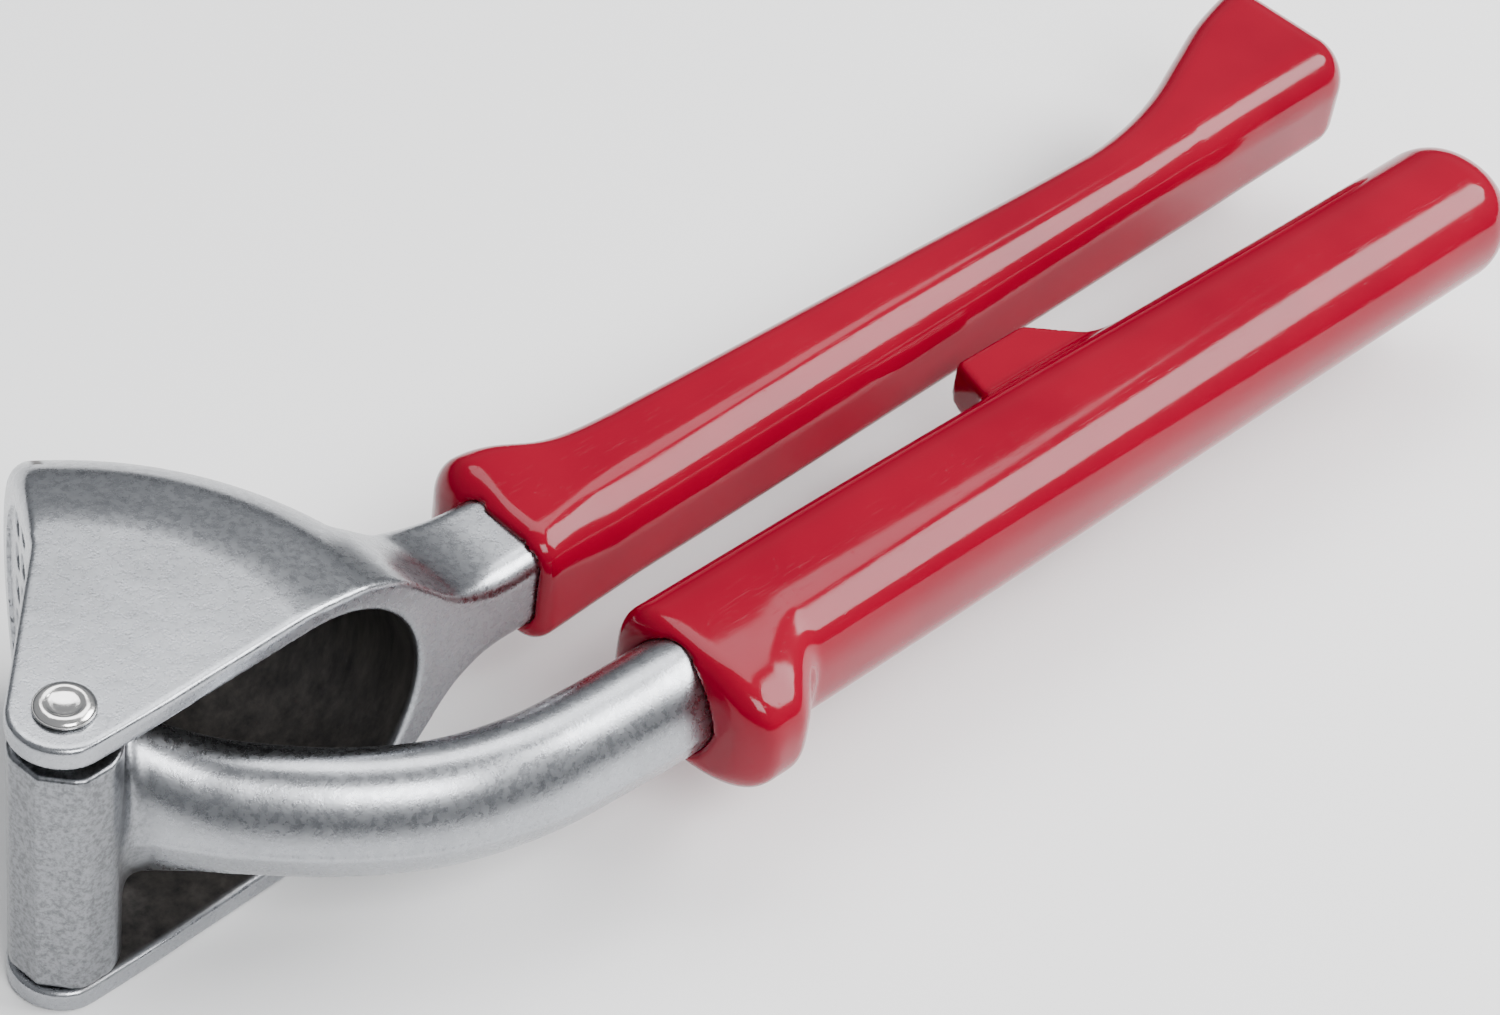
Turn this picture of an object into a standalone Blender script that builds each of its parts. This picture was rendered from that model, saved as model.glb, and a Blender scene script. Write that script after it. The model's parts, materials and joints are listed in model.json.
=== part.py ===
"""Garlic press: a cast chamber arm and a cast press arm on one rivet, each with a moulded grip.

The press lies on its side.  +Z runs up the rivet, +X runs along the lower grip towards its tip,
and +Y runs from the lower grip to the upper one.  Every shape is worked out in millimetres about
the hinge, the point on the rivet's axis half way between the two cheeks.
"""
import math

import bmesh
import bpy
from mathutils import Matrix, Vector

MM = 0.001
GAP = 0.3                       # running and fitting gap between neighbours

# Where the hinge stands in the part's frame: the box is centred on the origin, bottom at 0.
HINGE = (-83.7, -1.29, 15.95)

# Chamber: a D section swept about the hinge axis, flat inside the cheeks, round outside
CHEEK_Z = 15.95                 # half height over the cheeks
CAVITY_Z = 13.6                 # half height between the cheeks
EAR_R = 4.8
OUTER_CENTRE_R = 23.6           # where the cheeks end and the round outer wall begins
OUTER_WALL_R = 15.2             # how far the outer wall bulges past the cheeks
SIEVE_EDGE_R = 1.9              # rounding between the sieve's face and the cheeks
WEB_END_R = 19.3                # where the opening between the ears meets the sieve's plate
SHELL_START_R = 19.5            # the cheeks' flat plates lie inside this radius
INNER_CENTRE_R = 22.6
CAVITY_R = 13.6
SIEVE_ANGLE = math.radians(60.4)
SIEVE_THICK = 2.2
MOUTH_TILT = math.radians(2.4)
MOUTH_OFFSET = EAR_R
HOLE_R = 1.2
HOLE_PITCH = 4.0
HOLE_RIM = 2.6                  # wall left between the outermost holes and the cavity's edge

# Neck and tang of the chamber arm, inside the upper grip
TANG_END_X = 132.0

# Press arm
BARREL_R = 4.8
BARREL_TOP = 12.3
BARREL_BOTTOM = -13.3
VANE_THICK = 3.2
VANE_LEAD = 1.5                 # gap between the vane's face and the sieve as the press lies
VANE_CLEAR = 0.4                # gap between the vane's edge and the chamber wall
VANE_ROOT_R = 7.5
ARM_SIDE = 5.4                  # half width of the arm's oval
ARM_Z = 6.0                     # half height of the arm's oval
ARM_TANG_END_X = 140.0

# Rivet
SHANK_R = 1.7
HEAD_R = 2.62
HEAD_H = 0.8
SINK_R = 2.9                    # countersink of the closed end, flush with the lower cheek
SINK_DEPTH = 1.3

# Grips
UPPER_Z = 6.3
UPPER_EDGE_R = 3.0
UPPER_FRONT_X = 49.9
UPPER_END_X = 172.2
LOWER_Y = -18.75
LOWER_SIDE = 7.5
LOWER_Z = 6.9
LOWER_FRONT_X = 51.0
LOWER_END_X = 169.0
LIP_R = 2.2                     # rounding of each grip's front edge
UPPER_END_R = 5.4
LOWER_END_R = 7.0

hinge_empty = None


# ---------------------------------------------------------------- helpers

def clear_scene():
    for obj in list(bpy.data.objects):
        bpy.data.objects.remove(obj, do_unlink=True)


def material(name, colour, roughness, metallic):
    mat = bpy.data.materials.new(name)
    mat.use_nodes = True
    shader = mat.node_tree.nodes["Principled BSDF"]
    shader.inputs["Base Color"].default_value = (*colour, 1.0)
    shader.inputs["Roughness"].default_value = roughness
    shader.inputs["Metallic"].default_value = metallic
    return mat


def add_object(name, bm, mat=None):
    """Turn a bmesh in hinge millimetres into an object whose origin is on the hinge axis."""
    bmesh.ops.scale(bm, vec=Vector((MM, MM, MM)), verts=bm.verts)
    bmesh.ops.recalc_face_normals(bm, faces=bm.faces)
    mesh = bpy.data.meshes.new(name)
    bm.to_mesh(mesh)
    bm.free()
    mesh.shade_smooth()
    mesh.set_sharp_from_angle(angle=math.radians(35))
    obj = bpy.data.objects.new(name, mesh)
    bpy.context.scene.collection.objects.link(obj)
    obj.parent = hinge_empty
    if mat:
        mesh.materials.append(mat)
    return obj


def boolean(obj, other, operation):
    mod = obj.modifiers.new(other.name, "BOOLEAN")
    mod.operation = operation
    mod.solver = "EXACT"
    mod.object = other
    other.hide_render = True
    other.display_type = "WIRE"


def loft(rings):
    """A closed solid through rings of points that all have the same count."""
    bm = bmesh.new()
    loops = [[bm.verts.new(point) for point in ring] for ring in rings]
    count = len(loops[0])
    for low, high in zip(loops, loops[1:]):
        for i in range(count):
            j = (i + 1) % count
            bm.faces.new((low[i], low[j], high[j], high[i]))
    bm.faces.new(loops[0][::-1])
    bm.faces.new(loops[-1])
    return bm


def prism(outline, low, high):
    """An outline in X and Y, extruded from one height to the other."""
    return loft([[(x, y, z) for x, y in outline] for z in (low, high)])


def cylinder(radius, low, high, segments=32, centre=(0.0, 0.0)):
    ring = [(centre[0] + radius * math.cos(a), centre[1] + radius * math.sin(a))
            for a in (2 * math.pi * (i + 0.5) / segments for i in range(segments))]
    return prism(ring, low, high)


def smooth(low, high, value):
    """0 below low, 1 above high, and an S-curve between them."""
    t = min(max((value - low) / (high - low), 0.0), 1.0)
    return t * t * (3 - 2 * t)


def curve(table, x):
    """Read a table of (x, value, ...) rows along a smooth curve through its points."""
    if x <= table[0][0]:
        return table[0][1:]
    if x >= table[-1][0]:
        return table[-1][1:]
    i = max(k for k, row in enumerate(table) if row[0] <= x)
    rows = [table[min(max(k, 0), len(table) - 1)] for k in (i - 1, i, i + 1, i + 2)]
    width = rows[2][0] - rows[1][0]
    t = (x - rows[1][0]) / width
    values = []
    for before, low, high, after in zip(*(row[1:] for row in rows)):
        leave = (high - before) / max(rows[2][0] - rows[0][0], width) * width
        arrive = (after - low) / max(rows[3][0] - rows[1][0], width) * width
        values.append((2 * t ** 3 - 3 * t ** 2 + 1) * low + (t ** 3 - 2 * t ** 2 + t) * leave
                      + (3 * t ** 2 - 2 * t ** 3) * high + (t ** 3 - t ** 2) * arrive)
    return tuple(values)


def rounded_ring(near, far, low, high, edge, corner_steps):
    """A rounded rectangle in Y and Z, as (y, z) points."""
    edge = min(edge, (far - near) / 2 - 0.05, (high - low) / 2 - 0.05)
    points = []
    corners = ((far - edge, high - edge, 0.0), (near + edge, high - edge, 0.5),
               (near + edge, low + edge, 1.0), (far - edge, low + edge, 1.5))
    for y, z, turn in corners:
        for i in range(corner_steps + 1):
            a = (turn + 0.5 * i / corner_steps) * math.pi
            points.append((y + edge * math.cos(a), z + edge * math.sin(a)))
    return points


# ---------------------------------------------------------------- chamber arm

def d_profile(centre_r, wall_r, half_z, start_r, steps):
    """Half of the chamber's D section, as (r, z) points from bottom to top."""
    arc = [(centre_r + wall_r * math.cos(a), half_z * math.sin(a))
           for a in (math.pi * (i / steps - 0.5) for i in range(steps + 1))]
    return [(start_r, -half_z), *arc, (start_r, half_z)]


def swept_ring(profile, angle, offset=0.0):
    """An (r, z) profile on the radial plane at an angle, moved off it by offset."""
    return [(*radial(angle, r, offset), z) for r, z in profile]


def swept_profile(profile, first, last, steps):
    """Sweep an (r, z) profile about the hinge axis."""
    return loft([swept_ring(profile, first + (last - first) * i / steps)
                 for i in range(steps + 1)])


def chamber_shell(steps, edge_steps):
    """The chamber's outside, with the edge round the sieve's face rounded over."""
    full = d_profile(OUTER_CENTRE_R, OUTER_WALL_R, CHEEK_Z, SHELL_START_R, 14)
    first, last = math.radians(-32), SIEVE_ANGLE - math.radians(6)
    rings = [swept_ring(full, first + (last - first) * i / steps) for i in range(steps + 1)]
    for i in range(edge_steps + 1):
        a = 0.5 * math.pi * i / edge_steps
        inset = SIEVE_EDGE_R * (1 - math.cos(a))
        profile = d_profile(OUTER_CENTRE_R, OUTER_WALL_R - inset, CHEEK_Z - inset,
                            SHELL_START_R, 14)
        rings.append(swept_ring(profile, SIEVE_ANGLE, SIEVE_EDGE_R * (math.sin(a) - 1)))
    return loft(rings)


def keep_side(bm, point, normal):
    """Cut a solid with a plane, keep what lies against the normal and close the cut."""
    cut = bmesh.ops.bisect_plane(bm, geom=bm.verts[:] + bm.edges[:] + bm.faces[:],
                                 plane_co=point, plane_no=normal, clear_outer=True)
    edges = [item for item in cut["geom_cut"] if isinstance(item, bmesh.types.BMEdge)]
    bmesh.ops.holes_fill(bm, edges=edges, sides=0)
    return bm


def radial(angle, r, offset=0.0):
    """A point at radius r on a radial plane, moved off it by offset towards larger angles."""
    return (r * math.cos(angle) - offset * math.sin(angle),
            r * math.sin(angle) + offset * math.cos(angle))


def sieve_normal():
    return Vector((-math.sin(SIEVE_ANGLE), math.cos(SIEVE_ANGLE), 0.0))


def mouth_normal():
    return Vector((math.sin(MOUTH_TILT), -math.cos(MOUTH_TILT), 0.0))


def arc(radius, first, last, steps):
    return [(radius * math.cos(a), radius * math.sin(a))
            for a in (math.radians(first + (last - first) * i / steps) for i in range(steps + 1))]


def cheek_outline():
    """One cheek: the ear, the web up to the sieve's face, and the plate back to the mouth."""
    return [*arc(EAR_R, -87.6, -225, 16), radial(math.radians(60.9), 18.0),
            radial(SIEVE_ANGLE, 19.2), *arc(SHELL_START_R + 2.5, 56, -16, 10)]


def neck_rings():
    """The neck narrows from the chamber's height to the tang, its near face in the mouth plane."""
    # x, far side, underside, top, edge rounding
    table = ((22.0, 2.0, -15.6, 15.6, 1.0), (27.0, 2.0, -15.7, 15.7, 1.0),
             (30.0, 2.0, -14.9, 15.1, 1.4), (33.0, 4.0, -13.0, 13.2, 1.8),
             (36.7, 7.4, -9.0, 9.6, 2.2), (40.4, 8.4, -5.4, 6.7, 2.2),
             (43.4, 8.1, -4.3, 5.4, 2.0), (46.5, 7.8, -4.2, 5.0, 2.0),
             (52.0, 7.4, -4.4, 5.0, 2.0), (64.0, 6.4, -4.2, 4.4, 2.0),
             (TANG_END_X, 5.4, -3.4, 3.4, 1.6))
    rings = []
    for x in (22, 25, 27, 28.5, 30, 31.5, 33, 35, 37, 39, 41, 43, 45, 47, 50, 53, 58, 64, 90,
              TANG_END_X):
        far, low, high, edge = curve(table, x)
        near = -6.5 + 6.9 * smooth(50, 64, x)
        rings.append([(x, y, z) for y, z in rounded_ring(near, far, low, high, edge, 3)])
    return rings


def sieve_holes():
    """One cutter for the hexagonal field of holes that fits the sieve's D outline."""
    bm = bmesh.new()
    normal = sieve_normal()
    turn = Vector((0, 0, 1)).rotation_difference(normal).to_matrix().to_4x4()
    row_gap = HOLE_PITCH * math.sqrt(0.75)
    for column in range(12):
        r = 9.2 + column * row_gap
        for row in range(-4, 5):
            z = (row + 0.5 * (column % 2)) * HOLE_PITCH
            reach = math.hypot(max(r - INNER_CENTRE_R, 0.0), z)
            if reach > CAVITY_R - HOLE_RIM:
                continue
            x, y = radial(SIEVE_ANGLE, r, -SIEVE_THICK / 2)
            place = Matrix.Translation((x, y, z)) @ turn
            bmesh.ops.create_cone(bm, cap_ends=True, segments=10, radius1=HOLE_R,
                                  radius2=HOLE_R, depth=SIEVE_THICK + 3, matrix=place)
    return bm


def make_chamber_arm(mat):
    arm = add_object("chamber_arm", chamber_shell(14, 4), mat)
    boolean(arm, add_object("ear_and_web", prism(cheek_outline(), -CHEEK_Z, CHEEK_Z)), "UNION")
    boolean(arm, add_object("neck_and_tang", loft(neck_rings())), "UNION")

    face = mouth_normal()
    mouth = prism([(-20, 0), (90, 0), (90, -60), (-20, -60)], -30, 30)
    bmesh.ops.rotate(mouth, matrix=Matrix.Rotation(MOUTH_TILT, 3, "Z"), verts=mouth.verts)
    bmesh.ops.translate(mouth, vec=face * MOUTH_OFFSET, verts=mouth.verts)
    boolean(arm, add_object("mouth_cut", mouth), "DIFFERENCE")

    cavity = swept_profile(d_profile(INNER_CENTRE_R, CAVITY_R, CAVITY_Z, 3.0, 14),
                           math.radians(-95), SIEVE_ANGLE, 24)
    keep_side(cavity, sieve_normal() * -SIEVE_THICK, sieve_normal())
    boolean(arm, add_object("cavity_cut", cavity), "DIFFERENCE")
    slot = cylinder(BARREL_R + GAP, -CAVITY_Z, CAVITY_Z)
    boolean(arm, add_object("barrel_slot", slot), "DIFFERENCE")
    fork = [radial(SIEVE_ANGLE, r, off)
            for r, off in ((0, 0), (WEB_END_R, 0), (WEB_END_R, 8), (-8, 8), (-8, 0))]
    boolean(arm, add_object("web_slot", prism(fork, -CAVITY_Z, CAVITY_Z)), "DIFFERENCE")
    boolean(arm, add_object("rivet_bore", cylinder(SHANK_R + GAP, -20, 20, 24)), "DIFFERENCE")
    sink = loft([[(r * math.cos(a), r * math.sin(a), z) for a in
                  (2 * math.pi * i / 24 for i in range(24))]
                 for r, z in ((SINK_R + 1 + GAP, -CHEEK_Z - 1),
                              (SHANK_R + GAP, -CHEEK_Z + SINK_DEPTH))])
    boolean(arm, add_object("countersink", sink), "DIFFERENCE")
    boolean(arm, add_object("sieve_holes", sieve_holes()), "DIFFERENCE")
    return arm


# ---------------------------------------------------------------- press arm

def arm_rings():
    """Ovals along the curved arm, from beside the barrel to the end of its tang."""
    # x, centre y, half width, half height
    table = ((6.8, 2.0, 4.8, 9.2), (9.0, -0.5, 5.1, 7.8), (11.5, -3.4, 5.3, 6.7),
             (14.0, -6.1, ARM_SIDE, 6.2), (20.0, -11.5, ARM_SIDE, ARM_Z),
             (27.0, -15.8, ARM_SIDE, ARM_Z), (35.0, -18.2, ARM_SIDE, ARM_Z),
             (43.0, -18.9, ARM_SIDE, ARM_Z), (52.0, -19.1, ARM_SIDE, ARM_Z),
             (64.0, LOWER_Y, 4.6, 4.6), (ARM_TANG_END_X, LOWER_Y, 3.4, 3.4))
    rings = []
    step = 0.5
    for x in (6.8, 8, 9.5, 11.5, 14, 17, 20, 23.5, 27, 31, 35, 39, 43, 47.5, 52, 58, 64,
              ARM_TANG_END_X):
        y, side, half_z = curve(table, x)
        slope = (curve(table, x + step)[0] - curve(table, x - step)[0]) / (2 * step)
        if x == table[0][0]:
            slope = (table[1][1] - y) / (table[1][0] - x)
        across = Vector((slope, -1.0)).normalized()
        rings.append([(x + across.x * side * math.cos(a), y + across.y * side * math.cos(a),
                       half_z * math.sin(a)) for a in (2 * math.pi * i / 20 for i in range(20))])
    return rings


def make_press_arm(mat):
    arm = add_object("press_arm", cylinder(BARREL_R, BARREL_BOTTOM, BARREL_TOP), mat)
    boolean(arm, add_object("curved_arm", loft(arm_rings())), "UNION")
    vane = swept_profile(d_profile(INNER_CENTRE_R, CAVITY_R - VANE_CLEAR, CAVITY_Z - VANE_CLEAR,
                                   3.4, 14), math.radians(-30), SIEVE_ANGLE, 14)
    normal = sieve_normal()
    face = SIEVE_THICK + VANE_LEAD
    outward = Vector((*radial(SIEVE_ANGLE, 1.0), 0.0))
    keep_side(vane, normal * -face, normal)
    keep_side(vane, normal * -(face + VANE_THICK), -normal)
    keep_side(vane, outward * VANE_ROOT_R, -outward)
    boolean(arm, add_object("vane", vane), "UNION")
    root = [radial(SIEVE_ANGLE, 2.0, -face), radial(SIEVE_ANGLE, VANE_ROOT_R + 1, -face),
            radial(SIEVE_ANGLE, VANE_ROOT_R + 1, -face - VANE_THICK), (BARREL_R - 0.1, -0.8),
            (2.0, -1.0)]
    root_z = CAVITY_Z - VANE_CLEAR - 0.2
    boolean(arm, add_object("vane_root", prism(root, -root_z, root_z)), "UNION")
    trim = cylinder(BARREL_R + 6, BARREL_TOP, BARREL_TOP + 6)
    boolean(arm, add_object("barrel_top_trim", trim), "DIFFERENCE")
    boolean(arm, add_object("barrel_bore", cylinder(SHANK_R + GAP, -20, 20, 24)), "DIFFERENCE")
    return arm


# ---------------------------------------------------------------- rivet

def make_rivet(mat):
    """A turned rivet: domed head with a shallow dish, shank, and a closed end set flush."""
    top = CHEEK_Z + 0.2
    profile = [(SINK_R - 0.15, -CHEEK_Z + 0.02), (SHANK_R, -CHEEK_Z + SINK_DEPTH), (SHANK_R, top),
               (HEAD_R, top), (HEAD_R, top + 0.2), (2.4, top + 0.55), (2.05, top + HEAD_H - 0.06),
               (1.75, top + HEAD_H), (1.3, top + HEAD_H - 0.08), (0.5, top + HEAD_H - 0.16)]
    segments = 24
    rings = [[(r * math.cos(2 * math.pi * i / segments), r * math.sin(2 * math.pi * i / segments), z)
              for i in range(segments)] for r, z in profile]
    return add_object("hinge_rivet", loft(rings), mat)


# ---------------------------------------------------------------- grips

def end_inset(x, front, end, front_r, end_r):
    """How far a section shrinks where an end is rounded."""
    inset = 0.0
    for depth, radius in ((x - front, front_r), (end - x, end_r)):
        if depth < radius:
            inset = max(inset, radius - math.sqrt(max(radius ** 2 - (radius - depth) ** 2, 0.0)))
    return inset


def stations(front, end, front_r, end_r, middle):
    """Section places along a grip, closer together where its ends are rounded."""
    steps = (0.0, 0.12, 0.35, 0.7, 1.0)
    return ([front + front_r * s for s in steps] + list(middle)
            + [end - end_r * s for s in reversed(steps)])


def upper_section(x):
    """The upper grip's near and far sides: a bulge behind the head and a flare at the tip."""
    table = ((50.0, -3.9, 12.6), (53.0, -3.8, 12.9), (56.0, -3.7, 12.0), (60.0, -3.6, 9.6),
             (64.0, -3.4, 8.6), (72.0, -3.2, 8.2), (104.0, -2.2, 7.6), (134.0, -1.3, 7.1),
             (141.0, -1.1, 7.8), (148.0, -0.9, 9.6), (155.0, -0.6, 12.4), (162.0, -0.4, 15.1),
             (170.0, -0.2, 17.2))
    return curve(table, x)


def make_upper_grip(mat):
    rings = []
    middle = [52.8, 54, 56, 58, 60, 62, 66, 72, 88, 104, 120, 134, 138, 142, 146, 150, 154, 158, 162]
    for x in stations(UPPER_FRONT_X, UPPER_END_X, LIP_R, UPPER_END_R, middle):
        near, far = upper_section(x)
        inset = end_inset(x, UPPER_FRONT_X, UPPER_END_X, LIP_R, UPPER_END_R)
        ring = rounded_ring(near + inset, far - inset, inset - UPPER_Z, UPPER_Z - inset,
                            max(UPPER_EDGE_R - inset * 0.4, 0.8), 4)
        rings.append([(x, y, z) for y, z in ring])
    grip = add_object("upper_grip", loft(rings), mat)
    socket = []
    for ring in neck_rings():
        if ring[0][0] < 44:
            continue
        socket.append(grow(ring, GAP))
    end = [(TANG_END_X + GAP, y, z) for x, y, z in socket[-1]]
    boolean(grip, add_object("tang_socket", loft([*socket, end])), "DIFFERENCE")
    return grip


def grow(ring, gap):
    """Push a ring's points away from its middle, in Y and Z."""
    middle = sum((Vector(point) for point in ring), Vector()) / len(ring)
    grown = []
    for x, y, z in ring:
        out = Vector((y - middle.y, z - middle.z))
        grown.append((x, y + math.copysign(gap, out.x), z + math.copysign(gap, out.y)))
    return grown


def guard(x):
    """Height of the finger guard's bulge over the lower grip's outer side."""
    return 4.2 * smooth(46.0, 54.0, x) * (1 - smooth(56.0, 63.0, x))


def make_lower_grip(mat):
    rings = []
    middle = [52.6, 54, 56, 58, 60, 62, 64, 66, 70, 90, 110, 130, 150]
    for x in stations(LOWER_FRONT_X, LOWER_END_X, LIP_R, LOWER_END_R, middle):
        inset = end_inset(x, LOWER_FRONT_X, LOWER_END_X, LIP_R, LOWER_END_R)
        ring = []
        for i in range(24):
            a = 2 * math.pi * i / 24
            side = LOWER_SIDE + (guard(x) if math.cos(a) < 0 else 0.0)
            shrink = max(1 - inset / LOWER_SIDE, 0.07)
            ring.append((x, LOWER_Y + side * shrink * math.cos(a), LOWER_Z * shrink * math.sin(a)))
        rings.append(ring)
    grip = add_object("lower_grip", loft(rings), mat)
    boolean(grip, add_object("stop_nub", loft(nub_rings())), "UNION")
    socket = [grow(ring, GAP) for ring in arm_rings() if ring[0][0] > 45]
    end = [(ARM_TANG_END_X + GAP, y, z) for x, y, z in socket[-1]]
    boolean(grip, add_object("arm_socket", loft([*socket, end])), "DIFFERENCE")
    return grip


def nub_rings():
    """The stop: a wedge that thins towards its tip."""
    # y, low x, high x, half thickness
    levels = ((-16.0, 99.6, 121.5, 3.4), (-11.3, 100.6, 116.5, 3.0), (-6.2, 102.4, 112.2, 2.5),
              (-5.4, 103.0, 111.6, 1.9))
    rings = []
    for y, low, high, half_z in levels:
        rings.append([(low, y, -half_z * 0.6), (low + 0.8, y, -half_z), (high, y, -half_z),
                      (high, y, half_z), (low + 0.8, y, half_z), (low, y, half_z * 0.6)])
    return rings


# ---------------------------------------------------------------- assembly

def main():
    global hinge_empty
    clear_scene()
    hinge_empty = bpy.data.objects.new("hinge_axis", None)
    bpy.context.scene.collection.objects.link(hinge_empty)
    hinge_empty.location = Vector(HINGE) * MM

    cast = material("cast_aluminium", (0.62, 0.63, 0.65), 0.38, 1.0)
    steel = material("polished_steel", (0.78, 0.77, 0.75), 0.15, 1.0)
    plastic = material("red_plastic", (0.52, 0.0, 0.02), 0.18, 0.0)

    make_chamber_arm(cast)
    make_press_arm(cast)
    make_rivet(steel)
    make_upper_grip(plastic)
    make_lower_grip(plastic)


main()
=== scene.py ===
"""The looks of the garlic press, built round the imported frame.

Each cast or moulded piece is described as a distance field in millimetres about the hinge: simple
solids joined, cut and clipped with rounded corners, as a pattern maker fillets them.  The surface of
the field then becomes the piece's mesh.
"""
import json
import math

import bpy
import numpy as np
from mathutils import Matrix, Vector


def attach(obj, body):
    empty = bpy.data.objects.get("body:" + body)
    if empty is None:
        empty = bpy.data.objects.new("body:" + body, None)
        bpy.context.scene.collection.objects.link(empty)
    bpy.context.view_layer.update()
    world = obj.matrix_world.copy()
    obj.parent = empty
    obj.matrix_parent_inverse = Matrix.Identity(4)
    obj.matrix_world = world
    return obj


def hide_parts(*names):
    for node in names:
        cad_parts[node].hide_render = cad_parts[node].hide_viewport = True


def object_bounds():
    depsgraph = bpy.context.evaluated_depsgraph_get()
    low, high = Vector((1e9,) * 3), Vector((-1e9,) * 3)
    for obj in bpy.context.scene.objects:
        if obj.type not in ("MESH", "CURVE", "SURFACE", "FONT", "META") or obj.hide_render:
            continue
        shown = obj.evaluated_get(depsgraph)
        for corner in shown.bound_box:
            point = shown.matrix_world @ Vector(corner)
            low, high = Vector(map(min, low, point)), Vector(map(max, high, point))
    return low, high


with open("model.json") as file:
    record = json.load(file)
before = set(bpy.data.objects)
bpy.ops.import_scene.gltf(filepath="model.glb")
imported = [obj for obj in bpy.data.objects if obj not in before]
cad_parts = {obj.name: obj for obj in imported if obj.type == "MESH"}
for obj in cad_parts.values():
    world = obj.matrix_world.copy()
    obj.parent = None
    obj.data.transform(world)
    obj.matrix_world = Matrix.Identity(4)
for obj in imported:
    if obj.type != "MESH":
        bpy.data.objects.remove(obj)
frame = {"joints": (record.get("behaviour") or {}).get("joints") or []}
cad_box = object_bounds()

MM = 0.001
HINGE = Vector(frame["joints"][0]["pos_m"])

# Chamber arm, in mm about the hinge
CHEEK_Z = 15.95                 # outer face of each cheek
CAVITY_Z = 13.6                 # half the height of the hollow
EAR_R = 4.8
OUTER_CENTRE_R = 23.6
OUTER_WALL_R = 15.2
INNER_CENTRE_R = 22.6
CAVITY_R = 13.6
SIEVE_ANGLE = math.radians(60.4)
SIEVE_THICK = 2.2
SIEVE_EDGE_R = 1.9              # the sieve's outer edge is rounder than the rest
SHELL_START_R = 12.0            # how near to the hinge the chamber's shell begins
CAVITY_START_X = -1.0           # the hollow reaches a little past the hinge
WEB_END_R = 19.3                # where the open web between the ears meets the sieve plate
MOUTH_TILT = math.radians(2.4)
HOLE_R = 1.2
HOLE_PITCH = 4.0
HOLE_START_R = 9.2              # first column of holes, from the hinge
HOLE_COLUMNS = 7
HOLE_ROWS = 4                   # rows on each side of the middle one
HOLE_RIM = 2.6                  # a hole's axis stays this far from the chamber's wall
HOLE_EDGE = 0.25
FIELD_START_R = 7.2
FIELD_RIM = 1.15                # width of the raised rim round the field of holes
FIELD_SINK = 0.3
SHOULDER_R = 22.8               # where the flat cheek ends in a crisp line
SHOULDER_SLOPE = 0.17
NECK_START_X = 22.0
NECK_BLEND = 3.2
NECK_NEAR_Y = -6.5              # the mouth's plane trims the neck before it reaches this far
TANG_NEAR_Y = 0.4
CAST_EDGE = 0.55                # rounding of a tumbled casting's edges
CRISP = 0.25                    # rounding of the line between the flat cheek and its slope
TANG_END_X = 132.0

# Press arm
BARREL_R = 4.8
BARREL_TOP = 12.3
BARREL_BOTTOM = -13.3
VANE_THICK = 3.2
VANE_LEAD = 1.5
VANE_CLEAR = 0.4
VANE_EDGE = 0.5
VANE_ROOT_R = 7.5
BARREL_EDGE = 0.45
BARREL_FLATS = ((184, 4.5), (222, 4.52), (272, 4.66))   # heading in degrees, distance from the axis
BARREL_SEAM = math.radians(248)
SEAM_STEP = 0.12                # the two halves of the mould are this far out of line
ARM_START_X = 6.8
ARM_END_X = 140.0
ARM_BLEND = 2.4                 # fillet between the arm and the barrel
ARM_CREASE = 3.6                # how far each half of the arm's oval is shifted at its parting line

# Rivet
SHANK_R = 1.7
BORE_CLEAR = 0.1
HEAD_R = 2.62
SINK_R = 2.9
SINK_DEPTH = 1.3
SINK_TOP_Z = -12.0
HEAD_GAP = 0.12                 # how far the head's underside stands off the cheek

# Grips
UPPER_Z = 6.3
UPPER_EDGE_R = 3.1
UPPER_SHOULDER_R = 5.0          # the edge that catches the light is rounder
UPPER_FRONT_X = 49.9
UPPER_END_X = 172.2
UPPER_END_R = 4.6
LOWER_Y = -18.75
LOWER_SIDE = 7.5
LOWER_Z = 6.9
LOWER_FRONT_X = 51.0
LOWER_END_X = 169.0
LOWER_END_R = 6.6
GUARD = 4.2                     # how far the finger guard stands out
LIP_R = 2.2
SOCKET_GAP = 0.03
SOCKET_EDGE = 0.35

STEP = 0.3     # size of a surface cell on the castings
GRIP_STEP = 0.42
CURVE_SAMPLES = 1200
ARM_SEARCH_STEPS = 7            # steps that find the nearest point of the arm's centre line
RIVET_SEGMENTS = 96

# Colours, linear
ALUMINIUM = (0.40, 0.412, 0.435)
RIVET_STEEL = (0.74, 0.73, 0.71)
RED = (0.235, 0.0, 0.014)
DEEP_RED = (0.195, 0.0, 0.012)

# Camera, fitted to the photograph's angle
CAMERA_LENS = 96.0
CAMERA_SENSOR = 36.0
CAMERA_PLACE = (-0.1381, -0.1772, 0.2488)     # metres from the hinge
CAMERA_TURN = (47.24, -6.76, -44.93)          # degrees about X, Y and Z

# Light: name, direction, distance, width and height in metres, watts
SOFT_BOXES = (
    ("right_box", (0.60, -0.40, 0.66), 0.75, 0.50, 0.40, 9.0),
    ("top_box", (0.30, 0.35, 1.0), 0.9, 0.8, 0.5, 6.5),
    ("front_box", (-0.25, -0.62, 0.74), 0.75, 0.34, 0.30, 4.5),
)


# ---------------------------------------------------------------- distance fields

def join(a, b, radius):
    """Union with a round fillet."""
    return np.maximum(radius, np.minimum(a, b)) - np.hypot(np.maximum(radius - a, 0),
                                                           np.maximum(radius - b, 0))


def clip(a, b, radius):
    """Intersection with a rounded edge."""
    return np.minimum(-radius, np.maximum(a, b)) + np.hypot(np.maximum(radius + a, 0),
                                                            np.maximum(radius + b, 0))


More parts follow.
